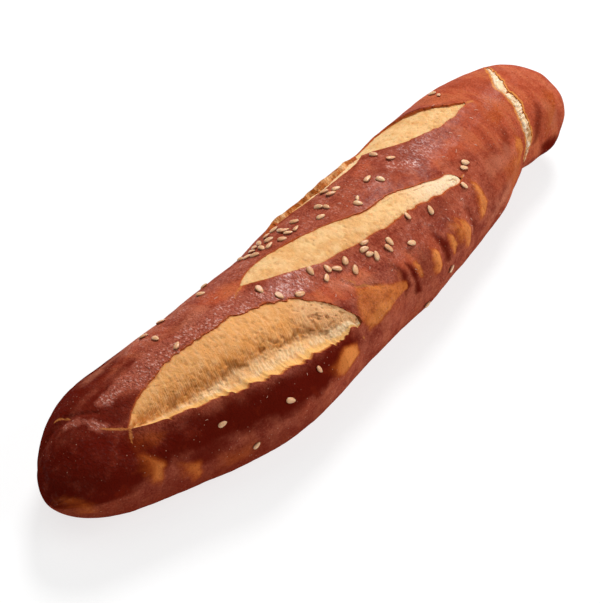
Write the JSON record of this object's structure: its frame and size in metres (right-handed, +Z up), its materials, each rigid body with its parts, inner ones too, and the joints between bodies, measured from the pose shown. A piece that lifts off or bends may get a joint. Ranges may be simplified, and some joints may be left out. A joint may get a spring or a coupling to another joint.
{
  "type": "pretzel stick",
  "caption": "Long lye-baked pretzel stick with oblique slashes that show pale crumb, a split across one end and a scatter of sesame seeds.",
  "frame": {"origin": "centre of the bounding box, at the level of the flat underside that rests on the table", "axes": "+X along the stick, from its plump blunt end to the end with the split across it; +Z up, out of the slashed top"},
  "size_m": [0.226, 0.0626, 0.038],
  "materials": {
    "baked_crust": "glossy red-brown lye crust; pale crumb in the slashes and cream sesame seeds"
  },
  "bodies": {
    "root": {"pretzel_stick": "baked_crust"}
  },
  "joints": []
}
